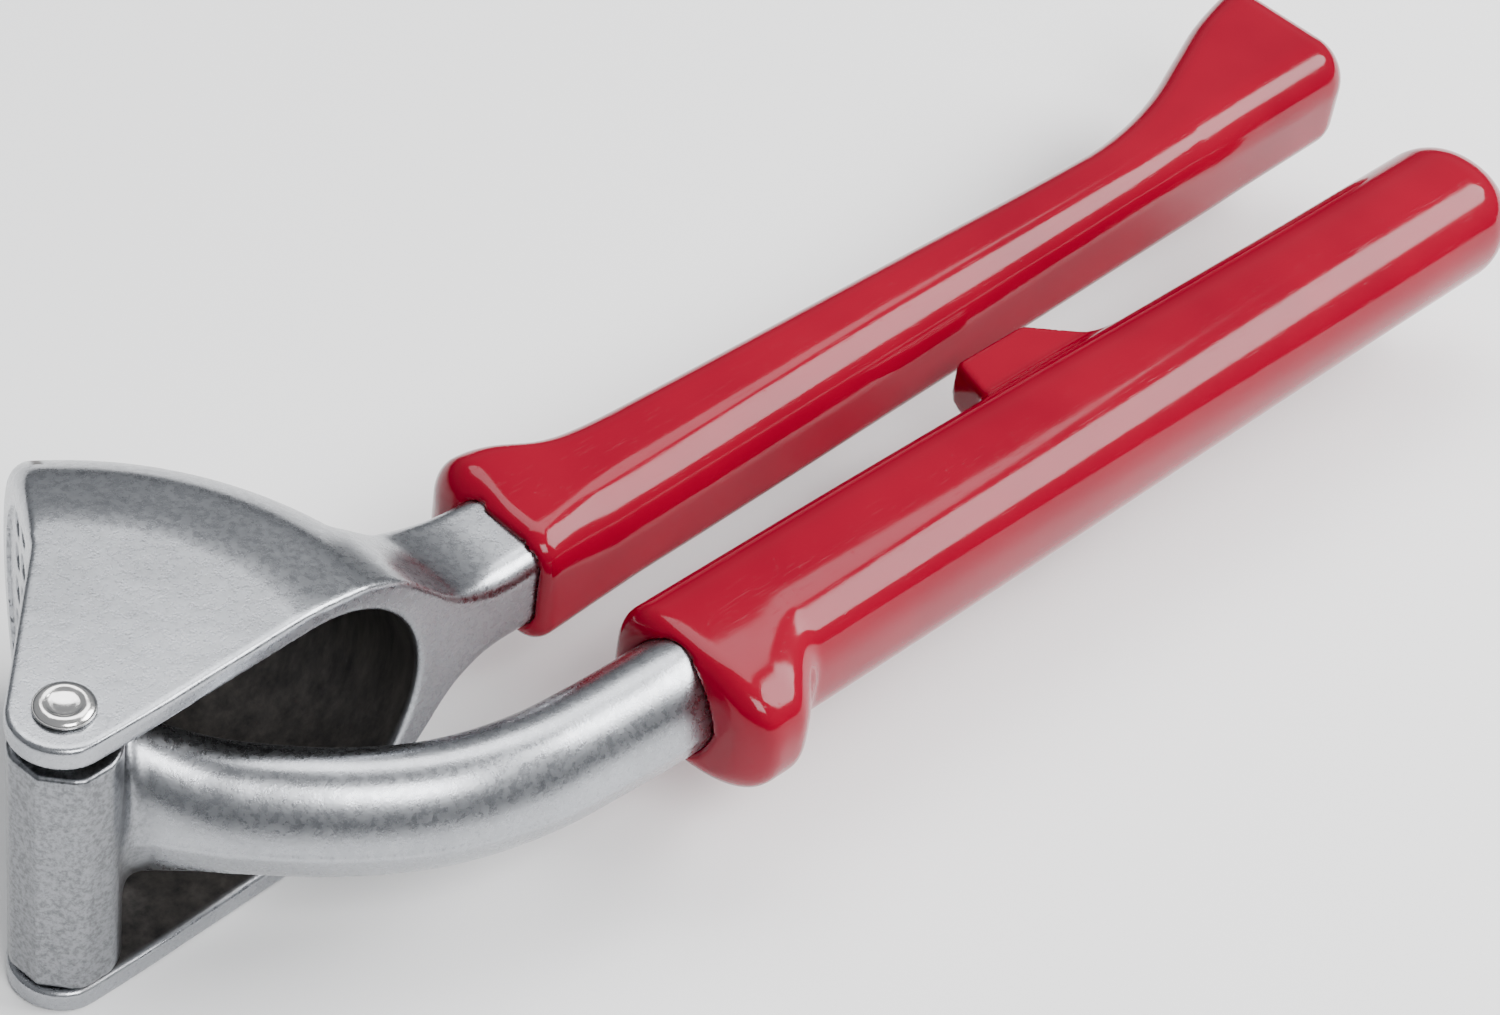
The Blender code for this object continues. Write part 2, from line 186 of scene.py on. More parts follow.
def cut(a, b, radius):
    """a without b, with a rounded edge."""
    return clip(a, -b, radius)


def smooth(low, high, value):
    """0 below low, 1 above high, and a smooth step between them."""
    t = np.clip((value - low) / (high - low), 0.0, 1.0)
    return t * t * (3 - 2 * t)


def polygon(points, x, y):
    """Signed distance to a closed polygon in X and Y."""
    nearest = np.full(np.broadcast(x, y).shape, np.inf)
    inside = np.zeros(nearest.shape, bool)
    for (ax, ay), (bx, by) in zip(points, points[1:] + points[:1]):
        ex, ey = bx - ax, by - ay
        t = np.clip(((x - ax) * ex + (y - ay) * ey) / (ex * ex + ey * ey), 0, 1)
        nearest = np.minimum(nearest, (x - ax - t * ex) ** 2 + (y - ay - t * ey) ** 2)
        if ay != by:
            crosses = ((ay > y) != (by > y)) & (x < ax + (y - ay) * ex / ey)
            inside = inside ^ crosses
    distance = np.sqrt(nearest)
    return np.where(inside, -distance, distance)


def spline(table):
    """Dense samples of a smooth curve through the rows (x, value, ...) of a table."""
    rows = np.array(table, float)
    at, values = rows[:, 0], rows[:, 1:]
    slopes = np.zeros_like(values)
    slopes[1:-1] = (values[2:] - values[:-2]) / (at[2:] - at[:-2])[:, None]
    slopes[0] = (values[1] - values[0]) / (at[1] - at[0])
    dense = np.linspace(at[0], at[-1], CURVE_SAMPLES)
    i = np.clip(np.searchsorted(at, dense, side="right") - 1, 0, len(at) - 2)
    width = (at[i + 1] - at[i])[:, None]
    t = (dense[:, None] - at[i][:, None]) / width
    here = (2 * t ** 3 - 3 * t ** 2 + 1) * values[i] + (t ** 3 - 2 * t ** 2 + t) * slopes[i] * width
    after = (3 * t ** 2 - 2 * t ** 3) * values[i + 1] + (t ** 3 - t ** 2) * slopes[i + 1] * width
    return dense, (here + after).T


def read(curve, x):
    """The columns of a curve made by spline, read at x."""
    dense, columns = curve
    return [np.interp(x, dense, column) for column in columns]


def rounded_bar(y, z, near, far, low, high, edge):
    """Distance to a rounded rectangle in Y and Z whose sizes may vary."""
    edge = np.minimum(edge, np.minimum(far - near, high - low) / 2 - 0.05)
    qy = np.abs(y - (near + far) / 2) - (far - near) / 2 + edge
    qz = np.abs(z - (low + high) / 2) - (high - low) / 2 + edge
    outside = np.hypot(np.maximum(qy, 0), np.maximum(qz, 0))
    return outside + np.minimum(np.maximum(qy, qz), 0) - edge


def oval(n, z, side, height, power=2.0):
    """Distance to an oval section, near enough for its surface."""
    u, v = np.abs(n) / side, np.abs(z) / height
    k = (u ** power + v ** power + 1e-9) ** (1 / power)
    slope = np.hypot(u ** (power - 1) / side, v ** (power - 1) / height) / k ** (power - 1)
    return (k - 1) / np.maximum(slope, 0.5 / max(np.max(side), np.max(height)))


# ---------------------------------------------------------------- field to mesh

def surface(field, low, high, step):
    """Vertices and quads of the surface where a field is zero, inside a box.

    One vertex goes into each cell that the surface crosses, at the mean of its crossings.  The
    vertices then slide onto the surface along the field's slope.
    """
    axes = [np.arange(a - 2 * step, b + 3 * step, step) for a, b in zip(low, high)]
    x, y, z = np.meshgrid(*axes, indexing="ij", sparse=True)
    grid = np.broadcast_to(field(x, y, z), [len(a) for a in axes]).astype(np.float32)
    inside = grid < 0
    total = np.zeros([n - 1 for n in grid.shape], np.int8)
    corners = [(i, j, k) for i in (0, 1) for j in (0, 1) for k in (0, 1)]
    nx, ny, nz = total.shape
    for i, j, k in corners:
        total += inside[i:i + nx, j:j + ny, k:k + nz]
    cells = np.argwhere((total > 0) & (total < 8))
    index = np.full(total.shape, -1, np.int64)
    index[tuple(cells.T)] = np.arange(len(cells))
    value = {c: grid[tuple((cells + c).T)] for c in corners}
    summed, count = np.zeros((len(cells), 3)), np.zeros(len(cells))
    for first in corners:
        for axis in range(3):
            if first[axis]:
                continue
            second = tuple(1 if a == axis else first[a] for a in range(3))
            a, b = value[first], value[second]
            crossed = (a < 0) != (b < 0)
            t = np.where(crossed, a / np.where(crossed, a - b, 1), 0)
            point = np.tile(np.array(first, float), (len(cells), 1))
            point[:, axis] += t
            summed += point * crossed[:, None]
            count += crossed
    verts = cells + summed / count[:, None]
    verts = verts * step + np.array([a[0] for a in axes])
    quads = []
    for axis in range(3):
        u, v = (axis + 1) % 3, (axis + 2) % 3
        ahead = np.roll(inside, -1, axis)
        change = inside != ahead
        change[tuple(slice(-1, None) if a == axis else slice(None) for a in range(3))] = False
        for a in (u, v):
            change[tuple(slice(0, 1) if b == a else slice(None) for b in range(3))] = False
            change[tuple(slice(-1, None) if b == a else slice(None) for b in range(3))] = False
        edges = np.argwhere(change)
        ring = []
        for du, dv in ((-1, -1), (0, -1), (0, 0), (-1, 0)):
            cell = edges.copy()
            cell[:, u] += du
            cell[:, v] += dv
            ring.append(index[tuple(cell.T)])
        ring = np.stack(ring, 1)
        flip = ~inside[tuple(edges.T)]
        ring[flip] = ring[flip][:, ::-1]
        quads.append(ring)
    quads = np.concatenate(quads)
    quads = quads[(quads >= 0).all(1)]
    for _ in range(3):
        verts = verts + slide(field, verts, 0.6 * step)
    return verts, quads


def slide(field, verts, longest):
    """The moves that bring vertices nearer to the surface, none of them longer than given."""
    nudge, least_slope = 0.04, 0.15
    x, y, z = verts.T
    here = field(x, y, z)
    slope = np.stack([(field(x + nudge, y, z) - field(x - nudge, y, z)),
                      (field(x, y + nudge, z) - field(x, y - nudge, z)),
                      (field(x, y, z + nudge) - field(x, y, z - nudge))], 1) / (2 * nudge)
    move = -here[:, None] * slope / np.maximum((slope ** 2).sum(1), least_slope)[:, None]
    length = np.linalg.norm(move, axis=1)
    return move * np.minimum(1, longest / np.maximum(length, 1e-9))[:, None]


def add_piece(name, field, low, high, step, mat, node, body, marks=None):
    """Mesh a field, put it in the row frame and let it stand for a CAD node."""
    verts, quads = surface(field, low, high, step)
    mesh = bpy.data.meshes.new(name)
    mesh.vertices.add(len(verts))
    mesh.vertices.foreach_set("co", (verts * MM).ravel())
    mesh.loops.add(quads.size)
    mesh.loops.foreach_set("vertex_index", quads.ravel())
    mesh.polygons.add(len(quads))
    mesh.polygons.foreach_set("loop_start", np.arange(0, quads.size, 4))
    mesh.update(calc_edges=True)
    mesh.validate()
    mesh.shade_smooth()
    for mark, values in (marks(*verts.T) if marks else {}).items():
        layer = mesh.attributes.new(mark, "FLOAT", "POINT")
        layer.data.foreach_set("value", np.broadcast_to(values, len(verts)).astype(np.float32))
    mesh.materials.append(mat)
    return place(name, mesh, node, body)


def place(name, mesh, node, body):
    """Put a mesh at the hinge, on its body, instead of a CAD node."""
    obj = bpy.data.objects.new(name, mesh)
    bpy.context.scene.collection.objects.link(obj)
    obj.location = HINGE
    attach(obj, body)
    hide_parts(node)
    return obj


# ---------------------------------------------------------------- chamber arm

def radial(angle, r, offset=0.0):
    """A point along a ray from the hinge, set off to the ray's left."""
    return (r * math.cos(angle) - offset * math.sin(angle),
            r * math.sin(angle) + offset * math.cos(angle))


def sieve_side(x, y):
    """Along the sieve's plane from the hinge, and outwards from it."""
    c, s = math.cos(SIEVE_ANGLE), math.sin(SIEVE_ANGLE)
    return x * c + y * s, y * c - x * s


def mouth_side(x, y):
    """Distance in front of the plane of the chamber's mouth."""
    return x * math.sin(MOUTH_TILT) - y * math.cos(MOUTH_TILT) - EAR_R


def arc(radius, first, last, steps):
    """Points of an arc about the hinge, between two angles in degrees."""
    angles = [math.radians(first + (last - first) * i / steps) for i in range(steps + 1)]
    return [(radius * math.cos(a), radius * math.sin(a)) for a in angles]


# Outline of the ears and of the flat part of the cheeks
CHEEK = [*arc(EAR_R, -87.6, -225, 40), radial(math.radians(61.4), 18.2),
         radial(SIEVE_ANGLE, 19.6), radial(SIEVE_ANGLE, 21.0), *arc(22.0, 56, -14, 10)]

# x, far side, underside, top, edge rounding
NECK = spline(((NECK_START_X, 1.0, -9.0, 9.0, 1.0), (27.0, 1.5, -11.0, 11.0, 1.0),
               (30.0, 2.6, -11.6, 11.6, 1.4), (33.0, 4.4, -11.0, 11.2, 1.8),
               (36.7, 7.0, -8.0, 8.6, 2.0), (40.4, 8.2, -5.3, 6.4, 2.0),
               (43.4, 8.1, -4.3, 5.4, 1.8), (46.5, 7.8, -4.2, 5.0, 1.8),
               (52.0, 7.4, -4.4, 5.0, 1.8), (64.0, 6.4, -4.2, 4.4, 2.0),
               (TANG_END_X, 5.4, -3.4, 3.4, 1.6)))


def neck_field(x, y, z):
    """The neck, which narrows to the tang where it enters the grip."""
    far, low, high, edge = read(NECK, x)
    near = NECK_NEAR_Y + (TANG_NEAR_Y - NECK_NEAR_Y) * smooth(49.5, 55, x)
    bar = rounded_bar(y, z, near, far, low, high, edge)
    return clip(np.maximum(bar, NECK_START_X - x), x - TANG_END_X, 0.4)


def trimmed_neck(x, y, z):
    """The neck as it ends up in the casting, which is what the grip's socket fits."""
    return clip(neck_field(x, y, z), mouth_side(x, y), mouth_edge(x))


def mouth_edge(x):
    """The rim's edge is crisp at the mouth and rounder along the neck."""
    return CAST_EDGE + 1.7 * smooth(38, 47, x)


def cavity_field(x, y, z):
    """The D-shaped hollow: a channel swept about the hinge, with a round outer wall."""
    r = np.hypot(x, y)
    out = np.maximum(r - INNER_CENTRE_R, 0) * (CAVITY_Z / CAVITY_R)
    return np.hypot(out, z) - CAVITY_Z


def hole_field(x, y, z):
    """Distance to the nearest hole's axis, less the hole's radius."""
    along, _ = sieve_side(x, y)
    nearest = np.full(np.broadcast(along, z).shape, np.inf)
    column_gap = HOLE_PITCH * math.sqrt(0.75)
    for column in range(HOLE_COLUMNS):
        r = HOLE_START_R + column * column_gap
        for row in range(-HOLE_ROWS, HOLE_ROWS + 1):
            height = (row + 0.5 * (column % 2)) * HOLE_PITCH
            if math.hypot(max(r - INNER_CENTRE_R, 0.0), height) <= CAVITY_R - HOLE_RIM:
                nearest = np.minimum(nearest, np.hypot(along - r, z - height))
    return nearest - HOLE_R


def chamber_solid(x, y, z):
    """The chamber arm before anything is cut out of it."""
    r = np.hypot(x, y)
    _, outward = sieve_side(x, y)
    out = np.maximum(r - OUTER_CENTRE_R, 0) * (CHEEK_Z / OUTER_WALL_R)
    edge = CAST_EDGE + (SIEVE_EDGE_R - CAST_EDGE) * smooth(19, 27, r)
    shell = clip(np.hypot(out, z) - CHEEK_Z, outward, edge)
    shell = np.maximum(shell, SHELL_START_R - r)
    cheek = clip(polygon(CHEEK, x, y), np.abs(z) - CHEEK_Z, CAST_EDGE)
    body = np.minimum(shell, cheek)
    shoulder = np.abs(z) - CHEEK_Z + SHOULDER_SLOPE * (r - SHOULDER_R)
    body = clip(body, shoulder, CRISP)
    body = join(body, neck_field(x, y, z), NECK_BLEND)
    return clip(body, mouth_side(x, y), mouth_edge(x))


def bore_field(x, y, z):
    """The rivet's bore through both ears, countersunk in the lower cheek."""
    bore = np.hypot(x, y) - SHANK_R - BORE_CLEAR
    sink = np.maximum(-CHEEK_Z + SINK_DEPTH - z, 0)
    return np.minimum(bore + 0 * z, np.maximum(bore - sink, z - SINK_TOP_Z))


def chamber_field(x, y, z):
    """The chamber arm, with its hollow, the gap for the barrel, the sieve's holes and the bore."""
    r = np.hypot(x, y)
    along, outward = sieve_side(x, y)
    body = chamber_solid(x, y, z)
    between = np.abs(z) - CAVITY_Z
    cavity = clip(cavity_field(x, y, z), outward + SIEVE_THICK, 0.5)
    cavity = np.maximum(cavity, CAVITY_START_X - x)
    slot = np.maximum(r - BARREL_R - 0.3, between)
    web = np.maximum(np.maximum(-outward, along - WEB_END_R), between)
    body = cut(body, np.minimum(cavity, np.minimum(slot, web)), CAST_EDGE)

    field_edge = np.hypot(np.maximum(along - INNER_CENTRE_R, 0), z) - CAVITY_R + FIELD_RIM
    field_edge = np.maximum(field_edge, FIELD_START_R - along)
    body = np.maximum(body, -np.maximum(field_edge, -FIELD_SINK - outward))
    plate = np.abs(outward + SIEVE_THICK / 2) - 4.0
    body = cut(body, np.maximum(hole_field(x, y, z), plate), HOLE_EDGE)
    return np.maximum(body, -bore_field(x, y, z))


def chamber_marks(x, y, z):
    """How far inside the chamber a point lies, 0 at the mouth's rim and 1 on the inner walls."""
    on_wall = 1 - smooth(0.25, 0.7, np.abs(cavity_field(x, y, z)))
    deep = smooth(0.1, 0.9, -mouth_side(x, y))
    _, outward = sieve_side(x, y)
    behind = smooth(0.5, 1.2, -outward)
    sieve_back = 1 - smooth(0.2, 0.6, np.abs(outward + SIEVE_THICK))
    between = np.abs(z) < CAVITY_Z + 0.3
    return {"inside": np.maximum(on_wall, sieve_back) * deep * behind * between}


# ---------------------------------------------------------------- press arm

# x, centre y, half width, half height
ARM = spline(((ARM_START_X, 2.0, 4.8, 8.8), (9.0, -0.5, 5.1, 7.6), (11.5, -3.4, 5.3, 6.6),
              (14.0, -6.1, 5.4, 6.2), (20.0, -11.5, 5.4, 6.0), (27.0, -15.8, 5.4, 6.0),
              (35.0, -18.2, 5.4, 6.0), (43.0, -18.9, 5.4, 6.0), (52.0, -19.1, 5.4, 6.0),
              (64.0, LOWER_Y, 4.6, 4.6), (ARM_END_X, LOWER_Y, 3.4, 3.4)))
ARM_SLOPE = np.gradient(ARM[1][0], ARM[0])


def arm_field(x, y, z):
    """The curved arm, an oval swept along its centre line, with a crease at the parting line."""
    at = np.clip(x, ARM_START_X, ARM_END_X) + 0 * y
    for _ in range(ARM_SEARCH_STEPS):
        centre = np.interp(at, ARM[0], ARM[1][0])
        slope = np.interp(at, ARM[0], ARM_SLOPE)
        at = np.clip(at + 0.8 * ((x - at) + (y - centre) * slope) / (1 + slope ** 2),
                     ARM_START_X, ARM_END_X)
    centre, side, height = read(ARM, at)
    slope = np.interp(at, ARM[0], ARM_SLOPE)
    length = np.sqrt(1 + slope ** 2)
    across = ((y - centre) - slope * (x - at)) / length
    past = ((x - at) + (y - centre) * slope) / length
    lifted = np.abs(z) + ARM_CREASE
    tall = height + ARM_CREASE
    wide = side / np.sqrt(1 - (ARM_CREASE / tall) ** 2)
    section = oval(across, lifted, wide, tall)
    section = section - SEAM_STEP * (1 - smooth(-0.2, 0.2, z))
    ended = (at <= ARM_START_X) | (at >= ARM_END_X)
    return np.maximum(section, np.where(ended, np.abs(past) - 0.01, -9.0))


def vane_field(x, y, z):
    """The plunger: a radial plate that fills the chamber's section, clear of its walls."""
    along, outward = sieve_side(x, y)
    r = np.hypot(x, y)
    out = np.maximum(r - INNER_CENTRE_R, 0)
    edge = np.maximum(np.hypot(out, z) - CAVITY_R, np.abs(z) - CAVITY_Z) + VANE_CLEAR
    face = SIEVE_THICK + VANE_LEAD
    plate = np.abs(outward + face + VANE_THICK / 2) - VANE_THICK / 2
    return np.maximum(clip(edge, plate, VANE_EDGE), VANE_ROOT_R - along)


VANE_FACE = -SIEVE_THICK - VANE_LEAD
# Outline of the thicker root that ties the plunger to the barrel
VANE_ROOT = [radial(SIEVE_ANGLE, 2.0, VANE_FACE), radial(SIEVE_ANGLE, VANE_ROOT_R + 1, VANE_FACE),
             radial(SIEVE_ANGLE, VANE_ROOT_R + 1, VANE_FACE - VANE_THICK), (BARREL_R - 0.1, -0.8),
             (2.0, -1.0)]


def barrel_field(x, y, z):
    """A barrel with flats where the mould's halves and slides met."""
    r = np.hypot(x, y)
    for heading, distance in BARREL_FLATS:
        a = math.radians(heading)
        r = np.maximum(r, x * math.cos(a) + y * math.sin(a) + BARREL_R - distance)
    past_seam = y * math.cos(BARREL_SEAM) - x * math.sin(BARREL_SEAM)
    side = r - BARREL_R + SEAM_STEP - SEAM_STEP * smooth(-0.15, 0.15, past_seam)
    return clip(clip(side, z - BARREL_TOP, BARREL_EDGE), BARREL_BOTTOM - z, BARREL_EDGE)


def press_field(x, y, z):
    body = join(barrel_field(x, y, z), arm_field(x, y, z), ARM_BLEND)
    root = clip(polygon(VANE_ROOT, x, y), np.abs(z) - CAVITY_Z + VANE_CLEAR + 0.2, 0.4)
    body = join(body, join(vane_field(x, y, z), root, 0.6), 0.8)
    body = clip(body, z - BARREL_TOP, 0.3)
    return np.maximum(body, SHANK_R + BORE_CLEAR - np.hypot(x, y))


def press_marks(x, y, z):
    """Where the barrel gets its painted shade: full on the barrel, fading out beyond it."""
    return {"barrel_shade": 1 - smooth(5.2, 8.5, np.hypot(x, y))}


# ---------------------------------------------------------------- grips

# x, near side, far side
UPPER = spline(((50.0, -3.9, 12.6), (53.0, -3.8, 12.9), (56.0, -3.7, 12.0), (60.0, -3.6, 9.6),
                (64.0, -3.4, 8.6), (72.0, -3.2, 8.2), (104.0, -2.2, 7.6), (134.0, -1.3, 7.1),
                (141.0, -1.1, 7.8), (148.0, -0.9, 9.6), (155.0, -0.6, 12.4), (162.0, -0.4, 15.2),
                (170.0, -0.2, 17.3), (173.0, -0.2, 17.7)))


def upper_field(x, y, z):
    """The upper grip, a rounded bar with a fuller collar at the front and a flared tip."""
    near, far = read(UPPER, x)
    front = 1 - smooth(50, 60, x)
    near_edge = np.where(z > 0, UPPER_SHOULDER_R - 1.4 * front, UPPER_EDGE_R - 0.3 * front)
    edge = np.where(y > (near + far) / 2, UPPER_EDGE_R + 1.5 * front, near_edge)
    half_z = UPPER_Z - 0.2 * smooth(53, 62, x)
    bar = rounded_bar(y, z, near, far, -half_z, half_z, edge)
    bar = clip(bar, UPPER_FRONT_X - x, LIP_R + 1.2 * smooth(2, 8, y))
    bar = clip(bar, x - UPPER_END_X, UPPER_END_R)
    return cut(bar, trimmed_neck(x, y, z) - SOCKET_GAP, SOCKET_EDGE)


# Outline of the stop nub, and its half thickness at each y
NUB = [(99.6, -16.0), (100.6, -11.3), (102.4, -6.2), (103.0, -5.4), (111.6, -5.4), (112.2, -6.2),
       (116.5, -11.3), (121.5, -16.0)]
NUB_Y = (-16.0, -11.3, -6.2, -5.4)
NUB_HALF_Z = (3.4, 3.0, 2.5, 2.0)


def lower_field(x, y, z):
    """The lower grip, squarish at the guard and rounder towards its end."""
    guard = GUARD * smooth(46, 54, x) * (1 - smooth(56, 63, x))
    side = LOWER_SIDE + guard * (y < LOWER_Y)
    power = 2.8 - 0.7 * smooth(70, 150, x)
    body = oval(y - LOWER_Y, z, side, LOWER_Z + 0 * x, power)
    body = clip(clip(body, LOWER_FRONT_X - x, LIP_R), x - LOWER_END_X, LOWER_END_R)
    nub = clip(polygon(NUB, x, y), np.abs(z) - np.interp(y, NUB_Y, NUB_HALF_Z), 0.5)
    body = join(body, nub, 1.4)
    return cut(body, arm_field(x, y, z) - SOCKET_GAP, SOCKET_EDGE)


# ---------------------------------------------------------------- materials

def shader_tree(name, colour, roughness, metallic):
    """A new material, its node tree and its shader."""
    mat = bpy.data.materials.new(name)
    mat.use_nodes = True
    tree = mat.node_tree
    shader = tree.nodes["Principled BSDF"]
    shader.inputs["Base Color"].default_value = (*colour, 1.0)
    shader.inputs["Roughness"].default_value = roughness
    shader.inputs["Metallic"].default_value = metallic
    return mat, tree, shader


def new_node(tree, kind, inputs=None, **settings):
    """Add a node; an input is either a value or the socket that feeds it."""
    node = tree.nodes.new(kind)
    for key, value in settings.items():
        setattr(node, key, value)
    for key, value in (inputs or {}).items():
        if isinstance(value, bpy.types.NodeSocket):
            tree.links.new(value, node.inputs[key])
        else:
            node.inputs[key].default_value = value
    return node


def attribute(tree, name):
    return new_node(tree, "ShaderNodeAttribute", attribute_name=name).outputs["Fac"]


def object_coordinates(tree):
    return new_node(tree, "ShaderNodeTexCoord").outputs["Object"]


def noise(tree, where, size_mm, detail=3.0, roughness=0.5, stretch=None, turn=(0, 0, 0)):
    """Noise whose features are about size_mm across, stretched along an axis if asked."""
    if stretch:
        inputs = {"Vector": where, "Rotation": turn, "Scale": stretch}
        where = new_node(tree, "ShaderNodeMapping", inputs).outputs[0]
    inputs = {"Vector": where, "Scale": 1 / (size_mm * MM), "Detail": detail, "Roughness": roughness}
    return new_node(tree, "ShaderNodeTexNoise", inputs).outputs[0]


def remap(tree, value, low, high, to_low=0.0, to_high=1.0):
    inputs = {"Value": value, "From Min": low, "From Max": high, "To Min": to_low, "To Max": to_high}
    return new_node(tree, "ShaderNodeMapRange", inputs).outputs[0]


def bump(tree, height, distance_mm, strength, normal=None):
    inputs = {"Height": height, "Distance": distance_mm * MM, "Strength": strength}
    if normal:
        inputs["Normal"] = normal
    return new_node(tree, "ShaderNodeBump", inputs).outputs[0]


def colour_mix(tree, factor, first, second):
    """A blend of two colours, each an RGB triple or a socket."""
    node = new_node(tree, "ShaderNodeMix", data_type="RGBA")
    tree.links.new(factor, node.inputs[0])
    for key, value in ((6, first), (7, second)):
        if isinstance(value, bpy.types.NodeSocket):
            tree.links.new(value, node.inputs[key])
        else:
            node.inputs[key].default_value = (*value, 1.0)
    return node.outputs[2]


def number_mix(tree, factor, first, second):
    return new_node(tree, "ShaderNodeMix", {0: factor, 2: first, 3: second}).outputs[0]


def darker(colour, share):
    return tuple(share * channel for channel in colour)


def cast_normal(tree, where):
    """Soft waves, fine grain, and short scratches in three directions."""
    waves = noise(tree, where, 3.2, 2.0)
    grain = noise(tree, where, 0.28, 4.0, 0.6)
    directions = (((0.05, 1, 1), (0.3, 0.2, 0.5)), ((1, 0.05, 1), (0.1, 0.5, -0.4)),
                  ((1, 1, 0.06), (0.5, -0.3, 0.2)))
    scratches = [noise(tree, where, 0.12, 2.0, 0.5, stretch, turn) for stretch, turn in directions]
    normal = bump(tree, waves, 0.10, 0.30)
    normal = bump(tree, grain, 0.035, 0.42, normal)
    for line in scratches:
        normal = bump(tree, remap(tree, line, 0.50, 0.78), 0.006, 0.16, normal)
    return normal


def chamber_inside_colour(tree, where):
    """Darker, streaked colour for the chamber's inner walls and the sieve's back."""
    streaks = noise(tree, where, 1.6, 4.0, 0.7, (1.0, 1.0, 0.12), (0.2, 0.6, 0.3))
    return colour_mix(tree, remap(tree, streaks, 0.3, 0.7), (0.06, 0.058, 0.058),
                      (0.15, 0.138, 0.128))


def barrel_shade_and_mottle(tree, where):
    """Painted shade on the hinge barrel, which sits between the ears, with a mottle."""
    mottle = noise(tree, where, 0.5, 4.0, 0.75)
    return colour_mix(tree, remap(tree, mottle, 0.42, 0.62), darker(ALUMINIUM, 0.66),
                      darker(ALUMINIUM, 0.36))


def cast_metal(name, mark, marked_colour, marked_roughness):
    """Tumbled cast aluminium, with another colour and roughness where the named mark is set."""
    mat, tree, shader = shader_tree(name, ALUMINIUM, 0.3, 1.0)
    where = object_coordinates(tree)
    tree.links.new(cast_normal(tree, where), shader.inputs["Normal"])
    patches = remap(tree, noise(tree, where, 9.0, 3.0), 0.35, 0.65)
    colour = colour_mix(tree, patches, ALUMINIUM, darker(ALUMINIUM, 0.88))
    sand = remap(tree, noise(tree, where, 0.35, 3.0, 0.7), 0.55, 0.75, 0.0, 0.6)
    colour = colour_mix(tree, sand, colour, darker(ALUMINIUM, 0.55))
    rough = remap(tree, noise(tree, where, 0.8, 4.0, 0.65), 0.3, 0.7, 0.22, 0.34)
    marked = attribute(tree, mark)
    colour = colour_mix(tree, marked, colour, marked_colour(tree, where))
    tree.links.new(colour, shader.inputs["Base Color"])
    tree.links.new(number_mix(tree, marked, rough, marked_roughness), shader.inputs["Roughness"])
    return mat


def polished_metal(name):
    """Turned steel: fine rings about the rivet's axis, and a few specks."""
    mat, tree, shader = shader_tree(name, RIVET_STEEL, 0.14, 1.0)
    where = object_coordinates(tree)
    inputs = {"Vector": where, "Scale": 700.0, "Distortion": 0.6, "Detail": 1.0}
    rings = new_node(tree, "ShaderNodeTexWave", inputs, wave_type="RINGS",
                     rings_direction="Z").outputs["Fac"]
    speck = noise(tree, where, 0.25, 3.0)
    normal = bump(tree, rings, 0.002, 0.5)
    tree.links.new(bump(tree, speck, 0.01, 0.35, normal), shader.inputs["Normal"])
    tree.links.new(remap(tree, speck, 0.3, 0.7, 0.10, 0.24), shader.inputs["Roughness"])
    return mat


def red_plastic(name):
    """Glossy moulded plastic with a faint orange peel, dust specks and hair scratches."""
    mat, tree, shader = shader_tree(name, RED, 0.16, 0.0)
    shader.inputs["Specular IOR Level"].default_value = 0.24
    where = object_coordinates(tree)
    peel = noise(tree, where, 2.6, 2.0)
    hair = noise(tree, where, 0.10, 1.0, 0.5, (0.03, 1, 1), (0.15, 0.1, 0.35))
    pits = noise(tree, where, 0.5, 2.0)
    normal = bump(tree, peel, 0.03, 0.25)
    normal = bump(tree, remap(tree, pits, 0.70, 0.78), 0.015, 0.4, normal)
    normal = bump(tree, remap(tree, hair, 0.66, 0.76), 0.006, 0.4, normal)
    tree.links.new(normal, shader.inputs["Normal"])
    tone = remap(tree, noise(tree, where, 14.0, 2.0), 0.3, 0.7)
    tree.links.new(colour_mix(tree, tone, RED, DEEP_RED), shader.inputs["Base Color"])
    rough = remap(tree, noise(tree, where, 5.0, 4.0, 0.7), 0.3, 0.7, 0.07, 0.13)
    tree.links.new(rough, shader.inputs["Roughness"])
    return mat


# ---------------------------------------------------------------- rivet

# Radius of the head's outline, and height above its underside, from the rim to the middle
RIVET_HEAD = ((HEAD_R - 0.1, 0.0), (HEAD_R, 0.1), (HEAD_R, 0.26), (2.55, 0.40), (2.42, 0.52),
              (2.25, 0.63), (2.05, 0.71), (1.85, 0.75), (1.68, 0.73), (1.5, 0.64), (1.3, 0.55),
              (1.12, 0.51), (0.95, 0.52), (0.86, 0.50), (0.6, 0.44), (0.35, 0.41), (0.12, 0.40))


def lathe(profile, segments):
    """Vertices and faces of an outline of (radius, height) turned about Z, closed at both ends."""
    angles = [2 * math.pi * i / segments for i in range(segments)]
    verts = [(r * math.cos(a) * MM, r * math.sin(a) * MM, z * MM) for r, z in profile for a in angles]
    faces = []
    for k in range(len(profile) - 1):
        low, high = k * segments, (k + 1) * segments
        for i in range(segments):
            after = (i + 1) % segments
            faces.append([low + i, low + after, high + after, high + i])
    faces.append(list(range(segments))[::-1])
    faces.append([(len(profile) - 1) * segments + i for i in range(segments)])
    return verts, faces


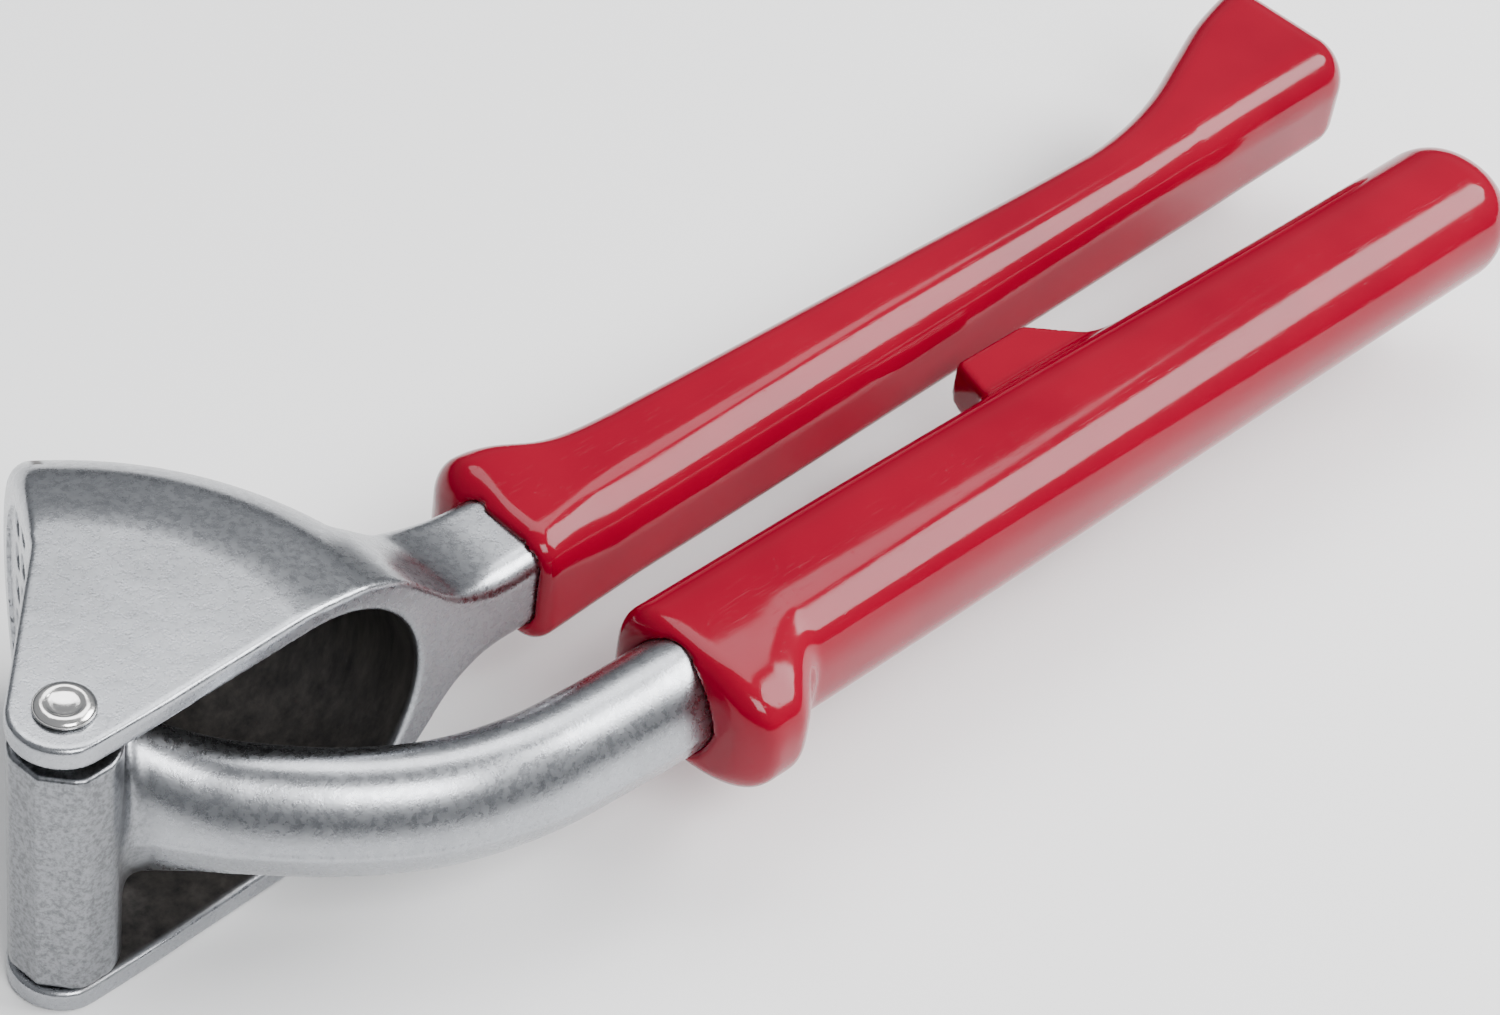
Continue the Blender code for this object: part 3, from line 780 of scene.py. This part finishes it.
def make_rivet(mat):
    """Head with a bright rim and a dished middle, a shank, and a closed end set flush."""
    bottom, top = -CHEEK_Z + 0.02, CHEEK_Z + HEAD_GAP
    profile = [(0.3, bottom), (SINK_R - 0.3, bottom), (SINK_R - 0.15, bottom + 0.08),
               (SHANK_R, -CHEEK_Z + SINK_DEPTH), (SHANK_R, top)]
    profile += [(radius, top + height) for radius, height in RIVET_HEAD]
    mesh = bpy.data.meshes.new("rivet")
    verts, faces = lathe(profile, RIVET_SEGMENTS)
    mesh.from_pydata(verts, [], faces)
    mesh.shade_smooth()
    mesh.set_sharp_from_angle(angle=math.radians(50))
    mesh.materials.append(mat)
    return place("rivet", mesh, "hinge_rivet", "chamber_side")


# ---------------------------------------------------------------- stage

def make_camera():
    data = bpy.data.cameras.new("camera")
    data.lens, data.sensor_width = CAMERA_LENS, CAMERA_SENSOR
    data.clip_start, data.clip_end = 0.01, 20.0
    camera = bpy.data.objects.new("camera", data)
    bpy.context.scene.collection.objects.link(camera)
    camera.location = HINGE + Vector(CAMERA_PLACE)
    camera.rotation_euler = [math.radians(angle) for angle in CAMERA_TURN]
    bpy.context.scene.camera = camera


def soft_box(name, toward, distance, width, height, power):
    """A rectangular area light that faces the press."""
    data = bpy.data.lights.new(name, "AREA")
    data.shape, data.size, data.size_y = "RECTANGLE", width, height
    data.energy = power
    light = bpy.data.objects.new(name, data)
    bpy.context.scene.collection.objects.link(light)
    middle = (Vector(cad_box[0]) + Vector(cad_box[1])) / 2
    direction = Vector(toward).normalized()
    light.location = middle + direction * distance
    light.rotation_euler = direction.to_track_quat("Z", "Y").to_euler()


def make_floor():
    bpy.ops.mesh.primitive_plane_add(size=8.0)
    floor = bpy.context.object
    floor.name = "floor"
    mat, tree, shader = shader_tree("floor_paper", (0.9, 0.9, 0.9), 0.8, 0.0)
    texture = noise(tree, object_coordinates(tree), 0.8, 3.0)
    tree.links.new(bump(tree, texture, 0.02, 0.1), shader.inputs["Normal"])
    floor.data.materials.append(mat)


def make_world():
    """A soft gradient: dark at the horizon, as a studio's walls are, and pale overhead."""
    world = bpy.data.worlds.new("studio")
    world.use_nodes = True
    sky = world.node_tree
    where = new_node(sky, "ShaderNodeTexCoord").outputs["Generated"]
    height = new_node(sky, "ShaderNodeSeparateXYZ", {"Vector": where}).outputs["Z"]
    colour = colour_mix(sky, remap(sky, height, 0.02, 0.38), (0.05, 0.06, 0.085), (0.75, 0.77, 0.80))
    sky.links.new(colour, sky.nodes["Background"].inputs["Color"])
    sky.nodes["Background"].inputs["Strength"].default_value = 0.5
    bpy.context.scene.world = world


# ---------------------------------------------------------------- build

def main():
    chamber_metal = cast_metal("cast_aluminium_chamber", "inside", chamber_inside_colour, 0.55)
    # The barrel's darker colour is painted shade, with a mottle.
    arm_metal = cast_metal("cast_aluminium_satin", "barrel_shade", barrel_shade_and_mottle, 0.30)
    plastic = red_plastic("red_gloss_plastic")

    add_piece("chamber_casting", chamber_field, (-EAR_R, -5, -CHEEK_Z), (TANG_END_X, 33.1, CHEEK_Z),
              STEP, chamber_metal, "chamber_arm", "chamber_side", chamber_marks)
    add_piece("press_casting", press_field, (-BARREL_R, -24.8, BARREL_BOTTOM), (ARM_END_X, 32.5, 13.3),
              STEP, arm_metal, "press_arm", "press_side", press_marks)
    add_piece("upper_grip_moulding", upper_field, (UPPER_FRONT_X, -4, -UPPER_Z),
              (UPPER_END_X, 18, UPPER_Z), GRIP_STEP, plastic, "upper_grip", "chamber_side")
    add_piece("lower_grip_moulding", lower_field, (LOWER_FRONT_X, -30.5, -LOWER_Z),
              (LOWER_END_X, -5.4, LOWER_Z), GRIP_STEP, plastic, "lower_grip", "press_side")
    make_rivet(polished_metal("polished_rivet"))
    make_camera()
    make_floor()
    make_world()
    for box in SOFT_BOXES:
        soft_box(*box)


main()
